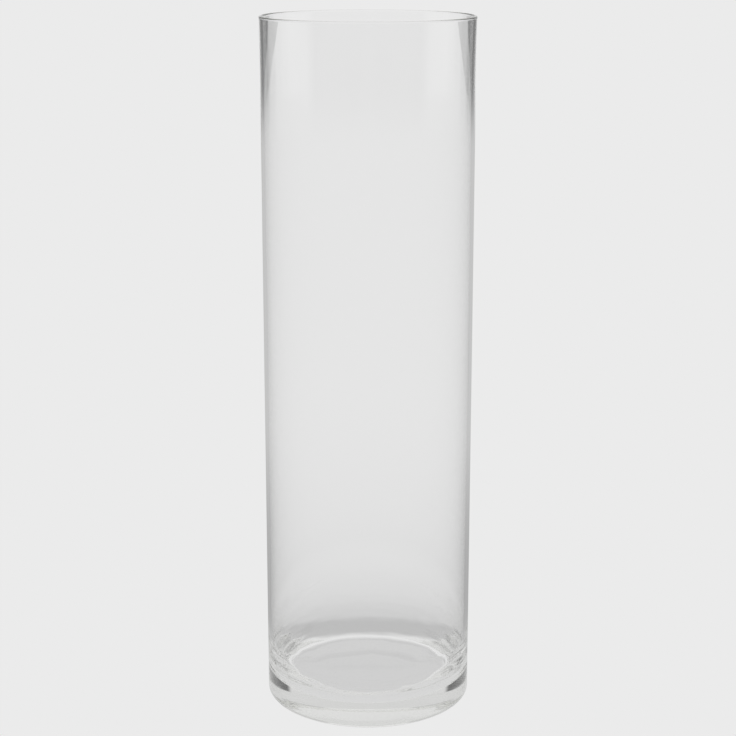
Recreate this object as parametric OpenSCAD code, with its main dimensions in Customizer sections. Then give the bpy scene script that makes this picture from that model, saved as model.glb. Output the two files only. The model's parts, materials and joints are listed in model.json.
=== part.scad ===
// Clear glass cylinder vase: one piece of blown glass with a straight wall,
// a heavy base and a fire-polished rim. It stands with +Z up, and the origin is
// the centre of the circle that it stands on. All sizes are in millimetres.

/* [Wall] */
// Outside diameter of the straight wall
outer_d = 120; // [90:1:180]
// Overall height, from the surface that it stands on to the top of the rim
height = 400; // [250:5:600]
// Thickness of the wall
wall = 2.2; // [1.8:0.1:4]
// How far the mouth opens out beyond the straight wall, on each side
flare = 0.5; // [0.1:0.1:2]
// Height of the stretch that flares, down from the rim
flare_h = 40; // [20:5:80]

/* [Base] */
// Thickness of the glass under the inner floor
base_t = 12.5; // [8:0.5:25]
// Width of the rounded corner between the floor and the wall
corner_w = 16; // [8:0.5:24]
// Height up to which the inside curves in from the wall, above the floor
corner_h = 27; // [4:0.5:40]
// How far the flat floor cuts off the foot of that curve
corner_cut = 1.5; // [0:0.1:3]
// Radius of the outer corner at the bottom
heel_r = 3; // [1.5:0.5:6]
// Diameter at which the underside leaves the surface that it stands on
ring_d = 88; // [50:1:90]
// Depth of the hollow in the middle of the underside
hollow_h = 0.4; // [0.2:0.1:3]

/* [Hidden] */
$fn = 96;
overlap = 1;
corner_bands = 12;
hollow_facets = 2880;
outer_r = outer_d / 2;
inner_r = outer_r - wall;
rim_r = wall / 2;
rim_z = height - rim_r;
flare_z = height - flare_h;
ring_r = ring_d / 2;
// Angle round the corner's ellipse, from its foot, at which it meets the floor
corner_start = acos(1 - corner_cut / corner_h);
// Radius of the shallow dome that meets the standing circle and rises hollow_h
hollow_r = (pow(ring_r, 2) + pow(hollow_h, 2)) / (2 * hollow_h);

// Half section of the outer surface, filled to the axis
module outer_section() {
    polygon([
        [0, heel_r],
        [outer_r, heel_r],
        [outer_r, flare_z],
        [outer_r + flare, rim_z],
        [0, rim_z]
    ]);
    square([outer_r - heel_r, heel_r + overlap]);
    translate([outer_r - heel_r, heel_r])
        circle(r = heel_r);
}

// Half section of the space inside. The corner is a quarter ellipse without its foot, so it
// meets the floor at a slight bend.
module inner_section() {
    polygon([
        [0, base_t],
        for (i = [0:corner_bands])
            let (a = corner_start + (90 - corner_start) * i / corner_bands)
                [inner_r - corner_w * (1 - sin(a)), base_t - corner_cut + corner_h * (1 - cos(a))],
        [inner_r, flare_z],
        [inner_r + flare, rim_z],
        [inner_r + flare, height + overlap],
        [0, height + overlap]
    ]);
}

// Half section of the round bead that fire polishing leaves on the cut edge
module rim_section() {
    translate([outer_r + flare - rim_r, rim_z])
        circle(r = rim_r);
}

// Half section of the shallow dome under the base
module hollow_section() {
    translate([0, hollow_h - hollow_r])
        circle(r = hollow_r, $fn = hollow_facets);
}

module glass_vase() {
    color("lightcyan", 0.35)
        rotate_extrude()
            intersection() {
                difference() {
                    union() {
                        difference() {
                            outer_section();
                            inner_section();
                        }
                        rim_section();
                    }
                    hollow_section();
                }
                square([outer_d, height + overlap]);
            }
}

glass_vase();
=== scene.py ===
"""A clear glass cylinder vase in Blender 4.5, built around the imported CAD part. Lengths are in metres."""

import json
import math

import bpy
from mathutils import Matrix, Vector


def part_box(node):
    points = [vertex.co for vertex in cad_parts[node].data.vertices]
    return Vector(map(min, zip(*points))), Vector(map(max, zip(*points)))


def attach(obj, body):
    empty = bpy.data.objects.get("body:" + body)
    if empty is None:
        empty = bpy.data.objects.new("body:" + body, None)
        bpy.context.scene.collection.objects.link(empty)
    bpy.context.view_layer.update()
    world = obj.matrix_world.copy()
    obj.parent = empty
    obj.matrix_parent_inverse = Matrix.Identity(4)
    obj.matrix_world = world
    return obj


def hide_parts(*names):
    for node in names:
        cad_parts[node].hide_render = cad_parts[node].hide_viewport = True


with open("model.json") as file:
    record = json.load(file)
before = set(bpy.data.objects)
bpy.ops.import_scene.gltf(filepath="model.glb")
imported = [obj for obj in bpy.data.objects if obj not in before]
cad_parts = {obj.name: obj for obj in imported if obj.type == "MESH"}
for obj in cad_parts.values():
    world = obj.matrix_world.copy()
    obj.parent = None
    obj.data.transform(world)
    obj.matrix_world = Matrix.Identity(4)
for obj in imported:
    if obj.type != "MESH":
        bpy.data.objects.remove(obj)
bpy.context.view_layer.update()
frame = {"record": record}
scene = bpy.context.scene


# ---------------------------------------------------------------------------
# Camera
# A long lens, set a little above the mouth and tilted down to the middle of
# the vase, so that the rim is seen nearly edge on and the floor is seen inside.

CAMERA_DISTANCE = 1.0
CAMERA_HEIGHT = 0.456
CAMERA_TILT = math.radians(14.41)

camera_data = bpy.data.cameras.new("camera")
camera_data.lens = 87.1
camera_data.sensor_width = 36
camera = bpy.data.objects.new("camera", camera_data)
camera.location = (0, -CAMERA_DISTANCE, CAMERA_HEIGHT)
camera.rotation_euler = (math.pi / 2 - CAMERA_TILT, 0, 0)
scene.collection.objects.link(camera)
scene.camera = camera


# ---------------------------------------------------------------------------
# Vase
# One piece of clear soda-lime glass, blown in a turning mould. The wall is thin
# and straight, the base is heavy and a little hollow underneath, and the cut rim
# is melted round. The inside was never touched by the mould, so it is uneven.

MM = 0.001
low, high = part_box("glass_vase")
mouth = next(m for m in frame["record"]["mounts"] if m["name"] == "mouth")
BORE_RADIUS = mouth["dims"]["r_mm"] * MM
BORE_TOP = mouth["pos_m"][2]
BORE_BOTTOM = BORE_TOP - mouth["dims"]["length_mm"] * MM
WALL = 2.2 * MM
MOUTH_RADIUS = (high.x - low.x) / 2
VASE_RADIUS = BORE_RADIUS + WALL
# Inside, the wall curves in to the floor along a quarter ellipse, and the floor cuts off the foot of it.
CORNER_WIDTH = 16 * MM
CORNER_HEIGHT = 27 * MM
CORNER_CUT = 1.5 * MM


def add(tree, kind, inputs=None, **settings):
    """Adds a node to a tree, with its settings, its input values and its links. A node links by its first
    output."""
    made = tree.nodes.new(kind)
    for name, value in settings.items():
        setattr(made, name, value)
    for key, value in (inputs or {}).items():
        for source in value if isinstance(value, list) else [value]:
            if isinstance(source, bpy.types.Node):
                source = source.outputs[0]
            if isinstance(source, bpy.types.NodeSocket):
                tree.links.new(source, made.inputs[key])
            else:
                made.inputs[key].default_value = source
    return made


def linear(hex_colour):
    """A linear colour with full alpha, from an sRGB hex value."""
    parts = [int(hex_colour[i:i + 2], 16) / 255 for i in (1, 3, 5)]
    return (*[c / 12.92 if c <= 0.04045 else ((c + 0.055) / 1.055) ** 2.4 for c in parts], 1.0)


def turned_vase():
    """A tree that draws the vase's section, turns it round the axis, and makes the inside uneven."""
    tree = bpy.data.node_groups.new("turned_vase", "GeometryNodeTree")
    face = tree.interface
    for name in ("Outer radius", "Height", "Wall", "Flare", "Flare height", "Base thickness",
                 "Corner width", "Corner height", "Heel radius", "Standing radius", "Hollow depth",
                 "Wave height", "Curl height", "Ripple height"):
        socket = face.new_socket(name, in_out="INPUT", socket_type="NodeSocketFloat")
        socket.subtype = "DISTANCE"
    bend = face.new_socket("Corner start", in_out="INPUT", socket_type="NodeSocketFloat")
    bend.subtype = "ANGLE"
    face.new_socket("Columns", in_out="INPUT", socket_type="NodeSocketInt")
    face.new_socket("Seed", in_out="INPUT", socket_type="NodeSocketInt")
    face.new_socket("Glass", in_out="INPUT", socket_type="NodeSocketMaterial")
    face.new_socket("Geometry", in_out="OUTPUT", socket_type="NodeSocketGeometry")

    # Beside each round there is a narrow band of faces, so that the long faces past it don't shade as curved.
    band = 0.3 * MM
    quarter = math.pi / 2
    # The section's own sizes. Each is worked out from two others or a number, and a sine or cosine from one.
    size = dict(add(tree, "NodeGroupInput").outputs.items())
    for name, first, operation, second in (
            ("inner radius", "Outer radius", "SUBTRACT", "Wall"),
            ("rim radius", "Wall", "MULTIPLY", 0.5),
            ("rim level", "Height", "SUBTRACT", "rim radius"),
            ("middle of wall", "Outer radius", "SUBTRACT", "rim radius"),
            ("wall end", "rim level", "SUBTRACT", band),
            ("flare start", "Height", "SUBTRACT", "Flare height"),
            ("share across", "Corner start", "SINE", 0.0),
            ("share up", "Corner start", "COSINE", 0.0),
            ("corner rise", "Corner height", "MULTIPLY", "share up"),
            ("corner top", "Base thickness", "ADD", "corner rise"),
            ("inside end", "corner top", "ADD", band),
            ("corner middle", "inner radius", "SUBTRACT", "Corner width"),
            ("corner reach", "Corner width", "MULTIPLY", "share across"),
            ("corner sweep", "Corner start", "SUBTRACT", quarter),
            ("floor radius", "corner middle", "ADD", "corner reach"),
            ("floor edge", "floor radius", "SUBTRACT", band),
            ("foot radius", "Outer radius", "SUBTRACT", "Heel radius"),
            ("foot edge", "foot radius", "SUBTRACT", band),
            ("heel end", "Heel radius", "ADD", band),
            ("hollow middle", "Standing radius", "MULTIPLY", 0.5),
            ("hollow edge", "Standing radius", "ADD", band),
            ("middle of base", "Base thickness", "MULTIPLY", 0.5),
            ("outer floor", "floor radius", "MULTIPLY", 0.8),
            ("half corner", "corner top", "MULTIPLY", 0.5),
            ("most of corner", "corner top", "MULTIPLY", 0.7),
            ("past corner", "corner top", "MULTIPLY", 1.9)):
        size[name] = add(tree, "ShaderNodeMath",
                         {0: size.get(first, first), 1: size.get(second, second)}, operation=operation)

    def line(start, end, points):
        """A straight stretch. Each end is its distance from the axis and its level, by size or by number."""
        ends = [add(tree, "ShaderNodeCombineXYZ", {"X": size.get(x, x), "Z": size.get(z, z)})
                for x, z in (start, end)]
        drawn = add(tree, "GeometryNodeCurvePrimitiveLine", {"Start": ends[0], "End": ends[1]})
        return add(tree, "GeometryNodeResampleCurve", {"Curve": drawn, "Count": points})

    def arc(centre, width, height, start, sweep, points):
        """Part of an ellipse, between two angles that are taken from its outer side upwards."""
        drawn = add(tree, "GeometryNodeCurveArc",
                    {"Resolution": points, "Radius": 1.0, "Start Angle": start, "Sweep Angle": sweep})
        middle = add(tree, "ShaderNodeCombineXYZ", {"X": size[centre[0]], "Z": size[centre[1]]})
        radii = add(tree, "ShaderNodeCombineXYZ", {"X": size[width], "Y": size[height], "Z": 1.0})
        return add(tree, "GeometryNodeTransform",
                   {"Geometry": drawn, "Translation": middle, "Scale": radii, "Rotation": (quarter, 0, 0)})

    crown = [add(tree, "ShaderNodeCombineXYZ", {"X": x, "Z": size["Hollow depth"]})
             for x in (0.0, size["hollow middle"])]
    hollow_end = add(tree, "ShaderNodeCombineXYZ", {"X": size["Standing radius"]})
    hollow = add(tree, "GeometryNodeCurveQuadraticBezier",
                 {"Resolution": 12, "Start": crown[0], "Middle": crown[1], "End": hollow_end})
    standing_ring = line(("hollow edge", 0.0), ("foot edge", 0.0), points=5)
    heel = arc(("foot radius", "Heel radius"), "Heel radius", "Heel radius", -quarter, quarter, points=13)
    outside = line(("Outer radius", "heel end"), ("Outer radius", "wall end"), points=70)
    rim = arc(("middle of wall", "rim level"), "rim radius", "rim radius", 0.0, math.pi, points=21)
    inside = line(("inner radius", "wall end"), ("inner radius", "inside end"), points=110)
    corner = arc(("corner middle", "corner top"), "Corner width", "Corner height", 0.0,
                 size["corner sweep"], points=33)
    inner_floor = line(("floor edge", "Base thickness"), (0.0, "Base thickness"), points=24)
    section = [hollow, standing_ring, heel, outside, rim, inside, corner, inner_floor]
    # A join puts the curve that was linked last first, so the section is linked from its end.
    joined = add(tree, "GeometryNodeJoinGeometry", {"Geometry": section[::-1]})

    # Near the mouth the section opens out, slowly at first.
    position = add(tree, "GeometryNodeInputPosition")
    height = add(tree, "ShaderNodeSeparateXYZ", {0: position}).outputs["Z"]
    rise = add(tree, "ShaderNodeMapRange",
               {"Value": height, "From Min": size["flare start"], "From Max": size["rim level"]})
    steady = add(tree, "ShaderNodeMath", {0: size["Flare"], 1: rise}, operation="MULTIPLY")
    opening = add(tree, "ShaderNodeMath", {0: steady, 1: rise}, operation="MULTIPLY")
    outwards = add(tree, "ShaderNodeCombineXYZ", {"X": opening})
    flared = add(tree, "GeometryNodeSetPosition", {"Geometry": joined, "Offset": outwards})

    # A grid takes one turned copy of the section in each column. Its seam and its poles are then merged.
    rows = add(tree, "GeometryNodeAttributeDomainSize", {"Geometry": flared},
               component="CURVE").outputs["Point Count"]
    across = add(tree, "ShaderNodeMath", {0: size["Columns"], 1: 1}, operation="ADD")
    grid = add(tree, "GeometryNodeMeshGrid", {"Vertices X": across, "Vertices Y": rows})
    index = add(tree, "GeometryNodeInputIndex")
    row = add(tree, "FunctionNodeIntegerMath", {0: index, 1: rows}, operation="MODULO")
    column = add(tree, "FunctionNodeIntegerMath", {0: index, 1: rows}, operation="DIVIDE_FLOOR")
    place = add(tree, "GeometryNodeSampleIndex", {"Geometry": flared, "Value": position, "Index": row},
                data_type="FLOAT_VECTOR", domain="POINT")
    share = add(tree, "ShaderNodeMath", {0: column, 1: size["Columns"]}, operation="DIVIDE")
    turn = add(tree, "ShaderNodeMath", {0: share, 1: 2 * math.pi}, operation="MULTIPLY")
    turned = add(tree, "ShaderNodeVectorRotate", {"Vector": place, "Angle": turn}, rotation_type="Z_AXIS")
    shaped = add(tree, "GeometryNodeSetPosition", {"Geometry": grid, "Position": turned})
    closed = add(tree, "GeometryNodeMergeByDistance", {"Geometry": shaped, "Distance": 0.002 * MM})

    # The inside alone is uneven, and each kind of unevenness fades smoothly over a part of it.
    flat = add(tree, "ShaderNodeVectorMath", {0: position, 1: (1.0, 1.0, 0.0)}, operation="MULTIPLY")
    radius = add(tree, "ShaderNodeVectorMath", {0: flat}, operation="LENGTH").outputs["Value"]
    way_in = add(tree, "ShaderNodeMath", {0: radius, 1: height}, operation="ADD")
    past_wall = add(tree, "ShaderNodeMath", {0: radius, 1: size["middle of wall"]}, operation="LESS_THAN")
    over_base = add(tree, "ShaderNodeMath", {0: height, 1: size["middle of base"]}, operation="GREATER_THAN")
    fade = {}
    for name, value, start, end, before, after in (
            ("below rim", height, "flare start", "rim level", 1.0, 0.0),
            ("off floor", radius, "outer floor", "floor radius", 0.0, 1.0),
            ("near corner", height, "half corner", "corner top", 1.0, 0.0),
            ("near base", height, "most of corner", "past corner", 1.0, 0.0)):
        fade[name] = add(tree, "ShaderNodeMapRange",
                         {"Value": value, "From Min": size[start], "From Max": size[end],
                          "To Min": before, "To Max": after}, interpolation_type="SMOOTHSTEP")

    # Long waves up the wall, curls near the base, and ripples round the corner. Each is smooth noise, whose
    # swells are so many millimetres long round the vase and along its section, and has its own part of the
    # noise. The noise mostly keeps between 0.3 and 0.7, which is stretched to -1 and 1.
    lift = 0.0
    for around, along, way, part_of_noise, factors in (
            (25, 160, height, 0.0, [size["Wave height"]]),
            (12, 6, way_in, 3.1, [size["Curl height"], fade["near base"], fade["off floor"]]),
            (60, 3, way_in, 1.7, [size["Ripple height"], fade["near corner"], fade["off floor"]])):
        ring = add(tree, "ShaderNodeVectorMath", {0: flat, "Scale": 1 / (around * MM)}, operation="SCALE")
        climb = add(tree, "ShaderNodeMath", {0: way, 1: 1 / (along * MM)}, operation="MULTIPLY")
        upright = add(tree, "ShaderNodeCombineXYZ", {"Z": climb})
        stretched = add(tree, "ShaderNodeVectorMath", {0: ring, 1: upright}, operation="ADD")
        seed = add(tree, "ShaderNodeMath", {0: size["Seed"], 1: part_of_noise}, operation="ADD")
        noise = add(tree, "ShaderNodeTexNoise",
                    {"Vector": stretched, "W": seed, "Scale": 1.0, "Detail": 1.0, "Roughness": 0.4},
                    noise_dimensions="4D")
        swell = add(tree, "ShaderNodeMapRange",
                    {"Value": noise, "From Min": 0.3, "From Max": 0.7, "To Min": -1.0, "To Max": 1.0},
                    clamp=False)
        for factor in factors:
            swell = add(tree, "ShaderNodeMath", {0: swell, 1: factor}, operation="MULTIPLY")
        lift = add(tree, "ShaderNodeMath", {0: lift, 1: swell}, operation="ADD")
    for factor in (past_wall, over_base, fade["below rim"]):
        lift = add(tree, "ShaderNodeMath", {0: lift, 1: factor}, operation="MULTIPLY")
    normal = add(tree, "GeometryNodeInputNormal")
    push = add(tree, "ShaderNodeVectorMath", {0: normal, "Scale": lift}, operation="SCALE")
    uneven = add(tree, "GeometryNodeSetPosition", {"Geometry": closed, "Offset": push})

    smooth = add(tree, "GeometryNodeSetShadeSmooth", {"Geometry": uneven})
    real = add(tree, "GeometryNodeRealizeInstances", {"Geometry": smooth})
    glazed = add(tree, "GeometryNodeSetMaterial", {"Geometry": real, "Material": size["Glass"]})
    add(tree, "NodeGroupOutput", {"Geometry": glazed})
    return tree


def soda_lime_glass():
    """Clear soda-lime glass, blown and fire-polished: glossy but for its foot, faintly grey where thick."""
    made = bpy.data.materials.new("clear_soda_lime_glass")
    made.use_nodes = True
    tree = made.node_tree
    tree.nodes.clear()
    spot = add(tree, "ShaderNodeTexCoord").outputs["Object"]
    # The skin waves by up to four microns, over swells that are 7 mm round the vase and 20 mm up it. That
    # makes its reflections waver a little.
    skin = add(tree, "ShaderNodeMapping", {"Vector": spot, "Scale": (1.0, 1.0, 0.35)})
    swells = add(tree, "ShaderNodeTexNoise", {"Vector": skin, "Scale": 1 / (7 * MM), "Detail": 2.0})
    bump = add(tree, "ShaderNodeBump", {"Height": swells, "Strength": 1.0, "Distance": 0.004 * MM})
    # Standing on tables has scuffed the lowest quarter of a millimetre, with marks under a millimetre long.
    height = add(tree, "ShaderNodeSeparateXYZ", {0: spot}).outputs["Z"]
    worn = add(tree, "ShaderNodeMapRange",
               {"Value": height, "From Min": 0.25 * MM, "From Max": 0.05 * MM})
    grit = add(tree, "ShaderNodeTexNoise",
               {"Vector": spot, "Scale": 1 / (0.8 * MM), "Detail": 4.0, "Roughness": 0.7})
    marks = add(tree, "ShaderNodeMapRange", {"Value": grit, "From Min": 0.5, "From Max": 0.75})
    scuff = add(tree, "ShaderNodeMath", {0: worn, 1: marks}, operation="MULTIPLY")
    rough = add(tree, "ShaderNodeMath", {0: scuff, 1: 0.35}, operation="MULTIPLY")
    shader = add(tree, "ShaderNodeBsdfPrincipled",
                 {"Base Color": linear("#FFFFFF"), "Roughness": rough, "IOR": 1.52,
                  "Transmission Weight": 1.0, "Normal": bump})
    body = add(tree, "ShaderNodeVolumeAbsorption", {"Color": linear("#E9EAE3"), "Density": 2.0})
    add(tree, "ShaderNodeOutputMaterial", {"Surface": shader, "Volume": body})
    return made


sizes = {
    "Outer radius": VASE_RADIUS,
    "Height": high.z,
    "Wall": WALL,
    "Flare": MOUTH_RADIUS - VASE_RADIUS,
    "Flare height": high.z - BORE_TOP,
    "Base thickness": BORE_BOTTOM - CORNER_HEIGHT + CORNER_CUT,
    "Corner width": CORNER_WIDTH,
    "Corner height": CORNER_HEIGHT,
    "Corner start": math.acos(1 - CORNER_CUT / CORNER_HEIGHT),
    "Heel radius": 3 * MM,
    "Standing radius": 44 * MM,
    "Hollow depth": 0.4 * MM,
    "Wave height": 0.04 * MM,
    "Curl height": 0.07 * MM,
    "Ripple height": 0.10 * MM,
    "Columns": 256,
    "Seed": 7,
    "Glass": soda_lime_glass(),
}
blank = bpy.data.objects.new("blank", bpy.data.meshes.new("blank"))
scene.collection.objects.link(blank)
turning = blank.modifiers.new("turning", "NODES")
turning.node_group = turned_vase()
for item in turning.node_group.interface.items_tree:
    if item.item_type == "SOCKET" and item.in_out == "INPUT" and item.name in sizes:
        turning[item.identifier] = sizes[item.name]
bpy.context.view_layer.update()
turned = blank.evaluated_get(bpy.context.evaluated_depsgraph_get())
vase = bpy.data.objects.new("vase", bpy.data.meshes.new_from_object(turned))
vase.data.name = "vase"
# The blank had no material, and that left an empty slot in front of the glass.
vase.data.materials.pop(index=0)
scene.collection.objects.link(vase)
bpy.data.objects.remove(blank)
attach(vase, "root")
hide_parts("glass_vase")


# ---------------------------------------------------------------------------
# Studio
# A plain pale floor and backdrop in even light, with no lamps. The floor glows by itself, and a contact
# shadow and a darker look in reflections are painted into its glow. Only the glass shows the rest
# of the room: dark gaps beside the backdrop, a soft box on each side, and a dimmer room behind.
# A level of light is 1 for full white, and PALE is that of the floor and the backdrop.

PALE = linear("#EBEBEB")[0]
FLOOR_RADIUS = 1.15


def graded(tree, level, *steps):
    """A level that changes in smooth steps: each is along what, from where, to where, and to what level."""
    for along, start, end, after in steps:
        level = add(tree, "ShaderNodeMapRange",
                    {"Value": along, "From Min": start, "From Max": end, "To Min": level, "To Max": after},
                    interpolation_type="SMOOTHSTEP")
    return level


def rays(tree):
    """Two masks: rays that come here by way of a reflection, and rays that come through glass. A ray that
    has met a matt surface on its way is in neither."""
    path = add(tree, "ShaderNodeLightPath").outputs
    off_glass = add(tree, "ShaderNodeMath", {0: path["Diffuse Depth"], 1: 0.5}, operation="LESS_THAN")
    bounced = add(tree, "ShaderNodeMath", {0: path["Glossy Depth"], 1: 0.5}, operation="GREATER_THAN")
    either = add(tree, "ShaderNodeMath", {0: path["Is Glossy Ray"], 1: path["Is Transmission Ray"]},
                 operation="MAXIMUM")
    mirrored = add(tree, "ShaderNodeMath", {0: bounced, 1: off_glass}, operation="MULTIPLY")
    mirrored = add(tree, "ShaderNodeMath", {0: mirrored, 1: either}, operation="MULTIPLY")
    through = add(tree, "ShaderNodeMath", {0: path["Is Transmission Ray"], 1: off_glass},
                  operation="MULTIPLY")
    return mirrored, through


def paper_with_painted_shadow():
    """Matt white paper that glows by itself. A contact shadow round the foot is painted into the glow and
    shows only through the vase, and a painted dimming makes its far parts darker in reflections.
    """
    made = bpy.data.materials.new("matt_paper_with_painted_shadow")
    made.use_nodes = True
    tree = made.node_tree
    tree.nodes.clear()
    mirrored, through = rays(tree)
    spot = add(tree, "ShaderNodeTexCoord").outputs["Object"]
    away = add(tree, "ShaderNodeVectorMath", {0: spot}, operation="LENGTH").outputs["Value"]

    # The painted contact shadow. It is set by distance from the middle of the floor, is not cast by the vase,
    # and is painted only for rays that come through glass. Its share of the light: 0.27 under the base, then
    # none at its heel, and 0.40 in a ring round the foot. From 80 mm it falls to 0.24, and from 88 mm it dies
    # away, by a factor of e in each 100 mm.
    painted_shadow = graded(tree, 0.27, (away, 51 * MM, 56 * MM, 0.0), (away, 61 * MM, 67 * MM, 0.40),
                    (away, 80 * MM, 92 * MM, 0.24))
    inwards = add(tree, "ShaderNodeMath", {0: 88 * MM, 1: away}, operation="SUBTRACT")
    dying = add(tree, "ShaderNodeMath", {0: inwards, 1: 100 * MM}, operation="DIVIDE")
    dying = add(tree, "ShaderNodeMath", {0: dying}, operation="EXPONENT")
    dying = add(tree, "ShaderNodeMath", {0: dying, 1: 1.0}, operation="MINIMUM")
    for factor in (dying, through):
        painted_shadow = add(tree, "ShaderNodeMath", {0: painted_shadow, 1: factor}, operation="MULTIPLY")
    left = add(tree, "ShaderNodeMath", {0: 1.0, 1: painted_shadow}, operation="SUBTRACT")
    lit = add(tree, "ShaderNodeMath", {0: left, 1: PALE}, operation="MULTIPLY")

    # Painted reflection: in reflections the paper is painted 0.68 by the foot, then 0.42, and 0.55 farther
    # out.
    pale = graded(tree, 0.68, (away, 80 * MM, 150 * MM, 0.55))
    dark = graded(tree, 0.0, (away, 80 * MM, 150 * MM, 1.0), (away, 200 * MM, 600 * MM, 0.0))
    painted_reflection = add(tree, "ShaderNodeMix", {"Factor": dark, "A": pale, "B": 0.42}, data_type="FLOAT")
    level = add(tree, "ShaderNodeMix", {"Factor": mirrored, "A": lit, "B": painted_reflection}, data_type="FLOAT")
    light = add(tree, "ShaderNodeEmission", {"Color": (1, 1, 1, 1), "Strength": level})
    add(tree, "ShaderNodeOutputMaterial", {"Surface": light})
    return made


def studio_room():
    """The world: pale to the camera. Through the glass its gaps show, and reflections show all of it."""
    made = bpy.data.worlds.new("studio")
    made.use_nodes = True
    tree = made.node_tree
    tree.nodes.clear()
    mirrored, through = rays(tree)
    # Directions are in degrees: turn and off_centre go round from the backdrop, and rise goes up from level.
    way = add(tree, "ShaderNodeTexCoord").outputs["Generated"]
    axes = add(tree, "ShaderNodeSeparateXYZ", {0: way}).outputs
    round_way = add(tree, "ShaderNodeMath", {0: axes["X"], 1: axes["Y"]}, operation="ARCTAN2")
    turn = add(tree, "ShaderNodeMath", {0: round_way}, operation="DEGREES")
    off_centre = add(tree, "ShaderNodeMath", {0: turn}, operation="ABSOLUTE")
    up_way = add(tree, "ShaderNodeMath", {0: axes["Z"]}, operation="ARCSINE")
    rise = add(tree, "ShaderNodeMath", {0: up_way}, operation="DEGREES")

    # What reflections see at eye level: the backdrop, a gap, a wall, a soft box on each side, and the room.
    gap = graded(tree, 0.20, (rise, -2.5, 0.5, 0.52))
    level = graded(tree, PALE, (off_centre, 15, 18, gap), (off_centre, 46, 52, 0.60))
    box = graded(tree, 0.0, (off_centre, 72, 80, 1.0), (off_centre, 104, 114, 0.0))
    box = graded(tree, 0.0, (rise, -6.0, -5.4, box))
    level = add(tree, "ShaderNodeMix", {"Factor": box, "A": level, "B": 0.78}, data_type="FLOAT")
    level = graded(tree, level, (off_centre, 112, 118, 0.38))
    # Overhead: pale above the backdrop, black on both sides, dim behind, and a pale ceiling over it all.
    overhead = graded(tree, 0.70, (off_centre, 40, 46, 0.08), (off_centre, 94, 104, 0.60),
                      (rise, 24.9, 25.7, 0.76))
    level = graded(tree, level, (rise, 12, 14, overhead))
    # Lower than the far edge of the floor, the room is as light as the paper there.
    mirror = graded(tree, 0.55, (rise, -7.5, -5.0, level))

    # What is seen straight through the glass: pale panels in eight directions, with gaps between them up to
    # eye level. A panel ends 6.3 degrees from its middle, and from 9.9 degrees the gap is darker. Low down
    # the panels widen, until they close the gaps.
    spacing = 360 / 8
    between = turn
    for operation, second in (("ADD", 360 + spacing / 2), ("MODULO", spacing), ("SUBTRACT", spacing / 2),
                              ("ABSOLUTE", 0.0)):
        between = add(tree, "ShaderNodeMath", {0: between, 1: second}, operation=operation)
    lowered = add(tree, "ShaderNodeMapRange",
                  {"Value": rise, "From Min": -7.43, "From Max": -3.29, "To Min": 0.02, "To Max": 1.0})
    taper = add(tree, "ShaderNodeMath", {0: lowered, 1: -0.8}, operation="POWER")
    straight = PALE
    for half_panel, darker in ((6.3, 0.61), (9.9, 0.17)):
        limit = add(tree, "ShaderNodeMath", {0: taper, 1: half_panel}, operation="MULTIPLY")
        beyond = add(tree, "ShaderNodeMath", {0: between, 1: limit}, operation="GREATER_THAN")
        straight = add(tree, "ShaderNodeMix", {"Factor": beyond, "A": straight, "B": darker},
                       data_type="FLOAT")
    straight = graded(tree, straight, (rise, -0.5, 1.5, PALE))

    seen = add(tree, "ShaderNodeMix", {"Factor": through, "A": PALE, "B": straight}, data_type="FLOAT")
    seen = add(tree, "ShaderNodeMix", {"Factor": mirrored, "A": seen, "B": mirror}, data_type="FLOAT")
    light = add(tree, "ShaderNodeBackground", {"Color": (1, 1, 1, 1), "Strength": seen})
    add(tree, "ShaderNodeOutputWorld", {"Surface": light})
    return made


bpy.ops.mesh.primitive_circle_add(vertices=128, radius=FLOOR_RADIUS, fill_type="NGON")
floor = bpy.context.object
floor.name = "floor"
# The floor's material paints a contact shadow and darker reflections into its glow.
floor.data.materials.append(paper_with_painted_shadow())
# A hair's breadth of air keeps the floor from lying in the plane of the standing ring.
floor.location.z = -0.02 * MM
scene.world = studio_room()
scene.view_settings.view_transform = "Standard"
# Light that is trapped in the base and the rim takes over a hundred reflections to get out.
TRAPPED_BOUNCES = 256
scene.cycles.max_bounces = TRAPPED_BOUNCES
scene.cycles.glossy_bounces = TRAPPED_BOUNCES
scene.cycles.transmission_bounces = TRAPPED_BOUNCES
